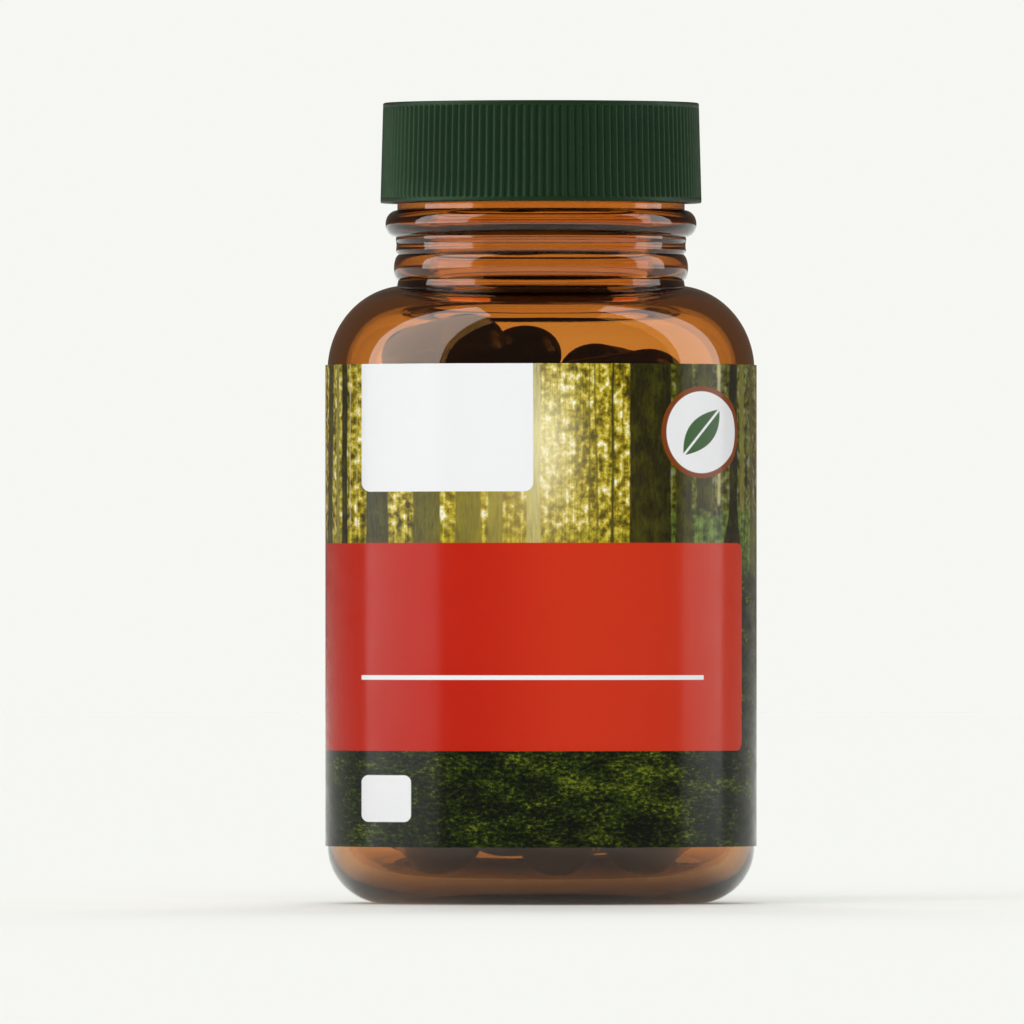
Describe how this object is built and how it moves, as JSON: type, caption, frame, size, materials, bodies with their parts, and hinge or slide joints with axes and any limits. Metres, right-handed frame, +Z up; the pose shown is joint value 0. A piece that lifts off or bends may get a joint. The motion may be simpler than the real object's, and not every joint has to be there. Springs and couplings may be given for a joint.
{
  "type": "amber glass capsule bottle",
  "caption": "Round amber glass bottle with a ribbed screw cap, a printed wrap label and dark two-part capsules inside.",
  "frame": {"origin": "centre of the base, on the surface that the bottle stands on", "axes": "+Z up along the bottle's axis; the middle of the label faces -Y and its seam +Y"},
  "size_m": [0.0482, 0.0482, 0.0894],
  "materials": {
    "amber_glass": "clear polished amber glass",
    "green_plastic": "satin moulded dark green polypropylene",
    "liner_foam": "white foam liner",
    "printed_film": "satin printed film",
    "dark_capsule": "glossy dark brown capsule shell"
  },
  "bodies": {
    "bottle": {"glass_bottle": "amber_glass", "label": "printed_film", "capsule_01": "dark_capsule", "capsule_02": "dark_capsule", "capsule_03": "dark_capsule", "capsule_04": "dark_capsule", "capsule_05": "dark_capsule", "capsule_06": "dark_capsule", "capsule_07": "dark_capsule", "capsule_08": "dark_capsule", "capsule_09": "dark_capsule", "capsule_10": "dark_capsule", "capsule_11": "dark_capsule", "capsule_12": "dark_capsule", "capsule_13": "dark_capsule", "capsule_14": "dark_capsule", "capsule_15": "dark_capsule", "capsule_16": "dark_capsule", "capsule_17": "dark_capsule", "capsule_18": "dark_capsule", "capsule_19": "dark_capsule", "capsule_20": "dark_capsule", "capsule_21": "dark_capsule", "capsule_22": "dark_capsule", "capsule_23": "dark_capsule", "capsule_24": "dark_capsule", "capsule_25": "dark_capsule", "capsule_26": "dark_capsule", "capsule_27": "dark_capsule", "capsule_28": "dark_capsule", "capsule_29": "dark_capsule", "capsule_30": "dark_capsule", "capsule_31": "dark_capsule", "capsule_32": "dark_capsule", "capsule_33": "dark_capsule", "capsule_34": "dark_capsule", "capsule_35": "dark_capsule", "capsule_36": "dark_capsule", "capsule_37": "dark_capsule", "capsule_38": "dark_capsule", "capsule_39": "dark_capsule", "capsule_40": "dark_capsule"},
    "liner": {"cap_liner": "liner_foam"},
    "cap": {"screw_cap": "green_plastic"}
  },
  "joints": [
    {"name": "cap_lift", "type": "slide", "parent": "bottle", "child": "liner", "axis": [0, 0, 1], "range_m": [0, 0.0032]},
    {"name": "cap_turn", "type": "hinge", "parent": "liner", "child": "cap", "pos_m": [0, 0, 0.0782], "axis": [0, 0, 1], "range_deg": [0, 270]}
  ],
  "couplings": [
    {"joint": "cap_lift", "follows": "cap_turn", "m_per_rad": 0.00067376}
  ]
}
